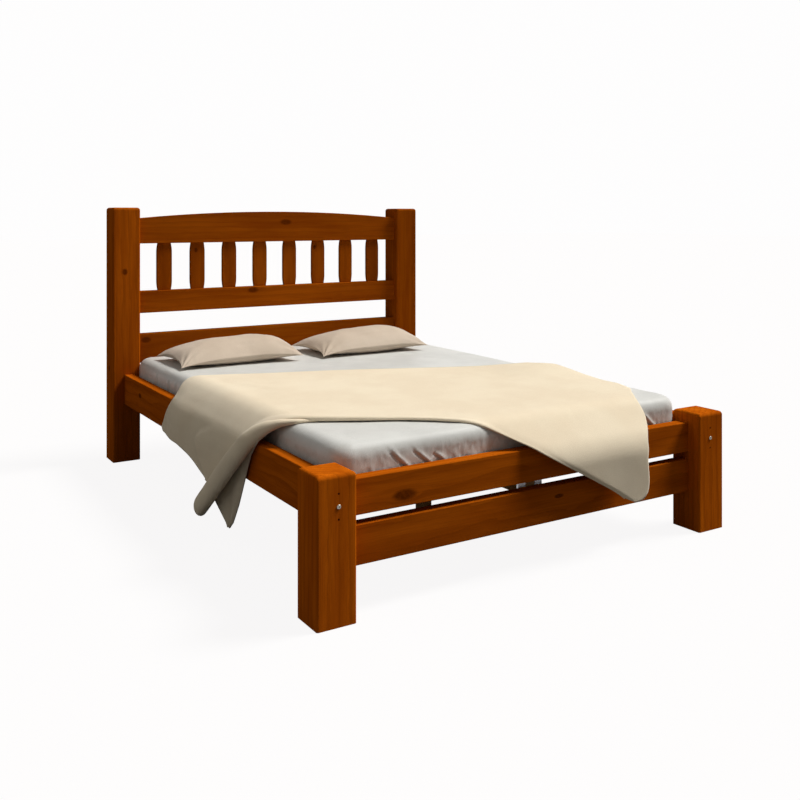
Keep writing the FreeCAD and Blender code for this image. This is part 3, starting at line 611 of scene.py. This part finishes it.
def make_pillow(side, seed, shoulder):
    """A pillow in its case: an upper and a lower skin that share their seam."""
    node_name = "pillowcase_" + side
    low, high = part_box(node_name)
    middle = (low + high) / 2
    total = high.z - low.z - PILLOW_ROOM
    x, y, upper, lower = pillow_skins(PILLOW_LENGTH / 2, PILLOW_WIDTH / 2, total, seed, shoulder)
    cos, sin = math.cos(PILLOW_TURN), math.sin(PILLOW_TURN)
    place_x = middle.x + x * cos - y * sin
    place_y = middle.y + x * sin + y * cos
    skins = [np.stack([place_x, place_y, skin + (low.z + PILLOW_GAP)], -1).reshape(-1, 3)
             for skin in (upper, lower)]
    faces = grid_faces(*x.shape)
    faces += [tuple(x.size + k for k in reversed(face)) for face in faces]
    piece = mesh_object("pillow_case_" + side, np.concatenate(skins), faces,
                        MATERIALS["pillowcase"], "pillow_" + side)
    merge_close(piece, 0.00025)
    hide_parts(node_name, "pillow_" + side)


# Blanket

SKIN = 0.0055                      # how far the blanket's outer skin lies above the sheet
# How far the blanket has turned down, in degrees, by its length from the middle of the bed
SIDE_TURNS = ((0.626, 0), (0.690, 37), (0.760, 48), (0.845, 90))
FOOT_TURNS = ((0.886, 0), (0.956, 38), (1.045, 44), (1.13, 90))
# Lengths from the middle past which the blanket follows those turns, and past which it hangs
SIDE_FROM, FOOT_FROM, FOOT_HALF = 0.55, 0.82, 0.75
SIDE_HANGS, FOOT_HANGS = 0.745, 0.98

# The blanket's four edges in its flat state, as lengths over the bed from its middle
BLANKET_HEAD = ((-0.885, 0.323), (-0.844, 0.286), (-0.799, 0.264), (-0.757, 0.266),
                (-0.719, 0.292), (-0.682, 0.314), (-0.640, 0.292), (-0.450, 0.215), (0.0, 0.060),
                (0.40, -0.105), (0.56, -0.158), (0.66, -0.185), (0.76, -0.222), (0.842, -0.250))
BLANKET_HEM = ((-0.885, 0.323), (-0.901, 0.309), (-0.905, 0.236), (-0.906, 0.104),
               (-0.923, -0.013), (-0.929, -0.050), (-0.935, -0.076), (-0.972, -0.228),
               (-0.980, -0.264))
BLANKET_FOLD = ((-0.980, -0.264), (-0.889, -0.380), (-0.795, -0.481), (-0.756, -0.503),
                (-0.727, -0.525), (-0.655, -0.628), (-0.537, -0.698), (-0.372, -0.783),
                (-0.290, -0.845), (-0.246, -0.890), (-0.181, -0.936), (-0.149, -0.961),
                (-0.115, -0.987), (-0.084, -1.013), (-0.049, -1.038), (-0.008, -1.072),
                (0.042, -1.103), (0.154, -1.163), (0.250, -1.215), (0.302, -1.245),
                (0.320, -1.259))
BLANKET_RIGHT = ((0.842, -0.250), (0.840, -0.350), (0.780, -0.500), (0.690, -0.600),
                 (0.640, -0.700), (0.603, -0.799), (0.550, -0.857), (0.502, -0.920),
                 (0.490, -0.962), (0.486, -0.990), (0.461, -1.037), (0.428, -1.086),
                 (0.418, -1.146), (0.426, -1.213), (0.421, -1.252), (0.399, -1.275),
                 (0.363, -1.279), (0.320, -1.259))
# The line down the left side where the blanket folds over itself: length past SIDE_HANGS, and Y
LINE_DOWN = (-0.02, 0.009, 0.045, 0.070, 0.096, 0.112, 0.148, 0.185, 0.221, 0.271)
LINE_Y = (-0.30, -0.250, -0.188, -0.135, -0.099, -0.100, -0.127, -0.177, -0.225, -0.290)
# How far the blanket's far corner stands up from the mattress, along Y
PUFF_Y = (-0.66, -0.60, -0.50, -0.40, -0.33, -0.27, -0.20, -0.10, -0.02)
PUFF = (0.0, 0.0, 0.007, 0.018, 0.024, 0.018, 0.010, 0.002, 0.0)
# Half the depth and half the width of the turned-under hem where it hangs
HEM_DEPTH, HEM_WIDTH = 0.0024, 0.0030


class EdgePath:
    """The blanket's way over an edge of the bed and down, by its length from X or Y = 0."""

    def __init__(self, turns):
        reach, count = 1.7, 3400
        self.length = np.linspace(0, reach, count + 1)
        lengths, degrees = zip(*turns)
        angle = np.radians(np.interp(self.length, lengths, degrees))
        middle = (angle[:-1] + angle[1:]) / 2
        self.out = np.concatenate([[0], np.cumsum(np.cos(middle)) * reach / count])
        self.z = TOP + SKIN - np.concatenate([[0], np.cumsum(np.sin(middle)) * reach / count])
        self.normal_out, self.normal_z = np.sin(angle), np.cos(angle)

    def at(self, length):
        return [np.interp(length, self.length, values)
                for values in (self.out, self.z, self.normal_out, self.normal_z)]


def lay(flat, side, foot, lift):
    """Place points of the flat blanket on the bed, lifted off it along its normal; normals too."""
    u, v = flat[:, 0], flat[:, 1]
    place = np.stack([u, v, np.full(len(u), TOP + SKIN)], 1)
    normal = np.tile((0.0, 0.0, 1.0), (len(u), 1))
    for sign in (-1, 1):
        over = sign * u > SIDE_FROM
        out, z, n_out, n_z = side.at(np.abs(u))
        place[over] = np.stack([sign * out, v, z], 1)[over]
        normal[over] = np.stack([sign * n_out, v * 0, n_z], 1)[over]
    over = (v < -FOOT_FROM) & (np.abs(u) < FOOT_HALF)
    out, z, n_out, n_z = foot.at(np.abs(v))
    place[over] = np.stack([u, -out, z], 1)[over]
    normal[over] = np.stack([u * 0, -n_out, n_z], 1)[over]
    normal = unit(normal)
    return place + normal * lift[:, None], normal


def fold_size(fold_place):
    """Half the depth and half the width of the turned-under hem at each point of the fold line."""
    x, z = fold_place[:, 0], fold_place[:, 2]
    on_top = np.where(x < -0.6, z > 0.36, z > TOP - 0.02)
    slimmer = step(x, -0.69, -0.30)
    depth = np.where(on_top, 0.0095 - 0.0045 * slimmer, HEM_DEPTH)
    width = np.where(on_top, 0.0125 - 0.0055 * slimmer, HEM_WIDTH)
    kernel = np.ones(9) / 9
    for _ in range(3):
        depth = np.convolve(np.pad(depth, 4, "edge"), kernel, "valid")
        width = np.convolve(np.pad(width, 4, "edge"), kernel, "valid")
    return depth, width


def side_folds(flat):
    """How far the hanging left side stands out: a broad lobe, and the layer folded over it."""
    y, down = flat[:, 1], -flat[:, 0] - SIDE_HANGS
    line = np.interp(down, LINE_DOWN, LINE_Y)
    blur = 0.007 + 0.05 * (1 - step(down, 0.03, 0.14))
    over = step((line - y) / blur, -1, 1) * step(down, 0.03, 0.13)
    bulge = 0.007 * np.exp(-((y - 0.13) / 0.09) ** 2) * step(down, 0, 0.12)
    lobe = 0.001 + 0.055 * np.maximum(down, 0) + bulge
    panel = 0.004 + (0.022 - 0.10 * np.clip(line - y, 0, 0.18)) * step(down, 0.0, 0.10)
    calm = step(y, 0.17, 0.31)
    folds = (1 - over) * lobe * (1 - 0.45 * calm) + over * panel
    return folds * step(down, -0.06, 0.05) - 0.004 * calm * step(down, -0.05, 0.01)


def foot_folds(flat):
    """How far the hanging corner at the foot stands out in one leaning fold."""
    down = np.maximum(-flat[:, 1] - FOOT_HANGS, 0)
    lean = flat[:, 0] - down * 0.25
    return step(down, 0.0, 0.16) * (0.001 + 0.004 * np.exp(-((lean - 0.36) / 0.10) ** 2))


def blanket_grid(side, foot):
    """The flat blanket's points in rows from its head edge to its fold line, and its hem's size."""
    columns, rows, fine, fade = 260, 110, 600, 12
    head = smooth_curve(BLANKET_HEAD, columns, 30)
    fold = smooth_curve(BLANKET_FOLD, columns, 30)
    border, _ = lay(fold, side, foot, np.zeros(columns))
    depth, width = fold_size(border)
    inward = unit(np.gradient(fold, axis=0)[:, ::-1] * (-1, 1))
    inset = np.minimum(width * 0.35, 0.006) * step(np.arange(columns), 0, fade)
    inset *= 1 - step(np.arange(columns), columns - fade, columns - 1)
    fold = fold + inward * inset[:, None]
    bias = 1 - (1 - np.linspace(0, 1, rows)) ** 1.45        # the rows lie closer at the fold
    ends = []
    for edge in (BLANKET_HEM, BLANKET_RIGHT):
        path = smooth_curve(edge, fine, 25)
        index = bias * (fine - 1)
        ends.append(np.stack([np.interp(index, np.arange(fine), path[:, k]) for k in (0, 1)], 1))
    left, right = ends
    a = np.linspace(0, 1, columns)[None, :, None]
    b = bias[:, None, None]
    flat = ((1 - b) * head[None] + b * fold[None] + (1 - a) * left[:, None] + a * right[:, None]
            - (1 - a) * (1 - b) * head[0] - a * (1 - b) * head[-1] - (1 - a) * b * fold[0]
            - a * b * fold[-1])
    return flat, depth, width


def blanket_lift(flat, depth, width):
    """How far each point of the flat blanket stands off the bed."""
    run = np.linalg.norm(flat[-1] - flat, axis=2)
    near = 1 - step(run / (5.0 * width[None] + 0.004), 0.0, 1.0)
    points = flat.reshape(-1, 2)
    x, y = points.T
    spots = np.stack([x, y, x * 0], 1)
    puff = 0.5 + 0.5 * ripple(spots, 0.26, 2.0)
    on_top = step(0.60 - np.abs(x), 0, 0.1) * step(y + 0.90, 0, 0.08)
    lift = side_folds(points) * (x < -0.66)
    lift += foot_folds(points) * ((y < -0.95) & (np.abs(x) < FOOT_HALF))
    lift += np.interp(y, PUFF_Y, PUFF) * step(x, 0.34, 0.62)
    lift += 0.0030 + 0.0030 * puff * on_top
    lift += 0.0012 * (0.5 + 0.5 * ripple(spots, 0.07, 6.0))
    crest = np.exp(-((y * 0.5 + x + 0.56) / 0.035) ** 2)
    lift += on_top * 0.004 * crest * step(y, -0.35, 0.15)
    calm = step(run.reshape(-1), 0.0, 0.05)
    lift = lift * (0.4 + 0.6 * calm)
    return lift + (near * 2 * np.maximum(depth - HEM_DEPTH, 0)[None]).reshape(-1)


def turned_under(placed, normal, depth, width):
    """The hem that turns under along the fold line, as more rows of points."""
    edge_point, edge_normal = placed[-1], normal[-1]
    along = unit(np.gradient(edge_point, axis=0))
    outward = unit(np.cross(along, edge_normal))
    if np.mean(np.sum(outward * (placed[-1] - placed[-12]), axis=1)) < 0:
        outward = -outward
    centre = edge_point - edge_normal * depth[:, None]
    curl = []
    for angle in np.linspace(90, -80, 13)[1:]:
        turn = math.radians(angle)
        curl.append(centre + edge_normal * (math.sin(turn) * depth)[:, None]
                    + outward * (math.cos(turn) * width)[:, None])
    return np.array(curl)


def make_blanket():
    """The blanket's cloth, and the roll and the hanging corner that go with it."""
    side, foot = EdgePath(SIDE_TURNS), EdgePath(FOOT_TURNS)
    flat, depth, width = blanket_grid(side, foot)
    lift = blanket_lift(flat, depth, width)
    placed, normal = lay(flat.reshape(-1, 2), side, foot, lift)
    rows, columns, _ = flat.shape
    placed, normal = placed.reshape(rows, columns, 3), normal.reshape(rows, columns, 3)
    surface = np.concatenate([placed, turned_under(placed, normal, depth, width)])
    piece = mesh_object("blanket_cloth", surface.reshape(-1, 3), grid_faces(len(surface), columns),
                        MATERIALS["blanket"], "blanket")
    orient_up(piece)
    thicken(piece, 0.0038)
    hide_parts("blanket")
    roll = make_roll()
    tail = make_tail()


# The middle of the roll, from its tip on the hanging left side up to the top of the bed
ROLL_PATH = ((-0.789, -0.136, 0.079), (-0.789, -0.188, 0.119), (-0.789, -0.232, 0.152),
             (-0.789, -0.278, 0.189), (-0.790, -0.404, 0.284), (-0.787, -0.486, 0.347),
             (-0.770, -0.523, 0.392), (-0.747, -0.540, 0.416), (-0.723, -0.569, 0.438),
             (-0.694, -0.605, 0.454), (-0.655, -0.641, 0.462), (-0.591, -0.657, 0.462))


def make_roll():
    """The thick roll of the turned-under edge, which sinks into the cloth at its upper end."""
    ring, tip_share = 36, 0.055             # points round it; share of its length in its tip
    centres = smooth_curve(ROLL_PATH, 110, 16)
    place = np.linspace(0, 1, len(centres))
    tip = np.sqrt(np.clip(1 - (1 - np.minimum(place / tip_share, 1.0)) ** 2, 0.02, 1))
    sink = step(place, 0.66, 0.98)
    half_depth = (0.0240 - 0.0040 * place) * (1 - sink) + 0.0050 * sink
    half_width = (0.0355 - 0.0070 * place) * (1 - sink) + 0.0090 * sink
    halves = np.stack([half_depth * tip, half_width * tip], 1)
    along = unit(np.gradient(centres, axis=0))
    share = step(place, 0.64, 0.90)[:, None]
    normal = (1 - share) * np.array((-1.0, 0, 0)) + share * np.array((0, 0, 1.0))
    normal = unit(normal - along * np.sum(normal * along, axis=1, keepdims=True))
    across = np.cross(along, normal)
    points = []
    for k in range(len(centres)):
        for turn in np.linspace(0, 2 * math.pi, ring, endpoint=False):
            crease = 1 + 0.05 * math.sin(2 * turn + k * 0.05)
            points.append(centres[k] + normal[k] * halves[k][0] * math.sin(turn) * crease
                          + across[k] * halves[k][1] * math.cos(turn) * crease)
    points = np.array(points)
    points += ripple(points, 0.05, 4.0)[:, None] * 0.0012 * np.repeat(normal, ring, axis=0)
    faces = grid_faces(len(centres), ring, True)
    faces.append(tuple(range(ring)))
    faces.append(tuple(reversed(range(len(points) - ring, len(points)))))
    piece = mesh_object("blanket_roll", points, faces, MATERIALS["blanket"], "blanket")
    merge_close(piece, 0.0002)
    return piece


# Y and Z of the hanging corner's two edges, from top to bottom
TAIL_LEFT = ((-0.165, 0.138), (-0.203, 0.124), (-0.231, 0.111), (-0.277, 0.090), (-0.326, 0.067))
TAIL_RIGHT = ((-0.586, 0.409), (-0.555, 0.382), (-0.515, 0.342), (-0.487, 0.292), (-0.459, 0.238),
              (-0.417, 0.160), (-0.370, 0.089), (-0.348, 0.070))


def make_tail():
    """The corner of the turned-under part, which hangs down behind the roll. Its wool is a darker
    copy, painted shade from the roll.
    """
    rows, columns, inner_x = 60, 34, -0.7530
    left = smooth_curve(TAIL_LEFT, rows, 10)
    right = smooth_curve(TAIL_RIGHT, rows, 10)
    share = np.linspace(0, 1, columns)
    fold = 0.0060 * np.sin(share * math.pi * 1.7 + 0.5) ** 2
    points = []
    for start, end in zip(left, right):
        y = start[0] + (end[0] - start[0]) * share
        z = start[1] + (end[1] - start[1]) * share
        points.append(np.stack([inner_x - fold, y, z], 1))
    piece = mesh_object("blanket_tail", np.concatenate(points), grid_faces(rows, columns),
                        MATERIALS["blanket_painted_shade"], "blanket")
    face_out(piece, Vector((-1, 0, 0)))
    thicken(piece, 0.0032)
    return piece


# The scene

make_camera()
make_lights()
make_floor()

# Centre and radii of each knot. Those on the sides that the photo shows are where it has them.
POST_KNOTS = (((-0.743, 0.932, 0.841), (0.013, 0.03, 0.016)),
              ((-0.402, 0.972, 0.930), (0.010, 0.02, 0.012)),
              ((0.214, 0.972, 0.933), (0.010, 0.02, 0.012)),
              ((0.794, -0.975, 0.265), (0.03, 0.012, 0.016)),
              ((0.735, 1.052, 0.560), (0.014, 0.03, 0.018)),
              ((-0.794, 1.000, 0.410), (0.03, 0.011, 0.014)))
CROSS_KNOTS = (((-0.491, -1.002, 0.303), (0.044, 0.03, 0.018)),
               ((0.083, -1.002, 0.209), (0.021, 0.03, 0.0075)),
               ((0.052, 0.960, 1.059), (0.033, 0.03, 0.015)),
               ((-0.121, 0.960, 0.733), (0.030, 0.03, 0.014)),
               ((-0.640, 0.960, 0.529), (0.025, 0.03, 0.015)),
               ((0.380, 1.002, 1.020), (0.022, 0.03, 0.012)),
               ((-0.300, 1.002, 0.490), (0.024, 0.03, 0.013)),
               ((0.350, 1.002, 0.690), (0.017, 0.03, 0.010)))
SIDE_KNOTS = (((-0.744, 0.700, 0.330), (0.03, 0.022, 0.011)),
              ((0.744, -0.350, 0.310), (0.03, 0.026, 0.012)),
              ((0.744, 0.540, 0.352), (0.03, 0.017, 0.009)))
SLAT_KNOTS = (((0.25, -0.30, 0.282), (0.016, 0.010, 0.03)),
              ((-0.40, 0.42, 0.282), (0.014, 0.009, 0.03)))

# Colours: light, dark and line of the wood
STAIN = ("#C4620E", "#A94F08", "#7A3404")
PLAIN = ("#DAB583", "#C99E65", "#A27440")
WOOL = {"rough": 0.95, "sheen": 0.20, "shine": 0.1, "thread": 0.0016, "nap": 1.6}
MATERIALS = {
    "upright": wood_material("stained_upright", "Z", *STAIN, POST_KNOTS),
    "cross": wood_material("stained_cross", "X", *STAIN, CROSS_KNOTS),
    "side": wood_material("stained_side", "Y", *STAIN, SIDE_KNOTS),
    # Painted light: the foot posts get a lighter copy of the stain, as if more brightly lit.
    "short": wood_material("stain_foot_posts_painted_light", "Z", "#D66C10", "#B9570A", STAIN[2], POST_KNOTS),
    # Painted shade: the right head post and the set-back headboard slats get a darker copy of the
    # stain, as if in shade.
    "panel": wood_material("stain_panel_painted_shade", "Z", "#A85209", "#904306", STAIN[2], POST_KNOTS),
    # Painted shade: the headboard's top and middle rails get a darker copy of the stain, as if in
    # shade.
    "head": wood_material("stain_rails_painted_shade", "X", "#B0580C", "#974607", STAIN[2], CROSS_KNOTS),
    # Painted shade: the headboard's lower rail and the head end rail get a still darker copy of the
    # stain, as if shaded by the pillows.
    "low": wood_material("stain_low_rails_painted_shade", "X", "#9B4D0A", "#843D06", STAIN[2], CROSS_KNOTS),
    "slats": wood_material("plain_cross", "X", "#DDB987", "#CFA46B", "#A87A44", SLAT_KNOTS,
                           rough=0.6, shine=0.25),
    "beams": wood_material("plain_beam", "Y", *PLAIN, rough=0.6),
    "legs": wood_material("plain_leg", "Z", *PLAIN, rough=0.6),
    "dowels": wood_material("dowel_end", "Y", "#6A2A08", "#5A2206", "#3A1403", rough=0.7),
    "bolts": metal_material("bright_bolt", "#9A958C", rough=0.30, scratch=900.0),
    "steel": metal_material("plated_steel", "#B9BCC0", rough=0.34, scratch=400.0),
    "screws": metal_material("yellow_screw", "#C7B88A", rough=0.30, scratch=700.0),
    "mattress": cloth_material("ticking", "#EDEBE4", "#DEDBD1", rough=0.9, sheen=0.2, shine=0.3,
                               thread=0.0012, nap=0.8),
    "sheet": cloth_material("satin", "#DBDBD7", "#CFCFCB", rough=0.45, sheen=0.05, shine=0.25,
                            thread=0.0005, nap=0.5),
    "pillowcase": cloth_material("pillow_cotton", "#D3C2AF", "#CAB8A4", rough=0.70, sheen=0.15,
                                 shine=0.25, thread=0.0007, nap=0.8),
    "blanket": cloth_material("blanket_wool", "#FAEBD0", "#F4E3C7", **WOOL),
    # Painted shade: a darker copy of the blanket's wool for the corner that hangs in shade behind
    # the roll.
    "blanket_painted_shade": cloth_material("blanket_painted_shade", "#D8CBB4", "#CEC0A9", **WOOL),
}


def starting(prefix):
    """The CAD nodes whose names are that prefix and a number or a side."""
    return [name for name in sorted(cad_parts)
            if name.startswith(prefix) and not name.endswith("screws")]


wear("upright", ["head_post_left"])
# Painted light: the foot posts wear the lighter copy of the stain.
wear("short", starting("foot_post"))
# Painted shade: the right head post and the slats wear a darker copy of the stain.
wear("panel", ["head_post_right"] + starting("headboard_slat"))
# Painted shade: these rails wear a darker copy of the stain.
wear("head", ["headboard_top_rail", "headboard_middle_rail"])
# Painted shade: these rails wear the darkest copy of the stain.
wear("low", ["headboard_lower_rail", "head_end_rail"])
wear("cross", ["footboard_upper_rail", "footboard_lower_rail"])
wear("side", ["side_rail_left", "side_rail_right"])
wear("slats", starting("bed_slat_"))
wear("beams", ["slat_ledger_left", "slat_ledger_right", "centre_beam"])
wear("legs", ["centre_leg_1", "centre_leg_2"])
wear("dowels", ["rail_dowels"])
wear("bolts", ["bed_bolts", "barrel_nuts"])
wear("steel", ["beam_hanger_head", "beam_hanger_foot"])
wear("screws", ["ledger_screws", "bed_slat_screws", "hanger_screws", "leg_screws"])

make_mattress()
make_sheet()
make_pillow("left", 1.0, 1.0)
make_pillow("right", 5.0, 0.0)
make_blanket()

bpy.context.scene.view_settings.view_transform = "Standard"
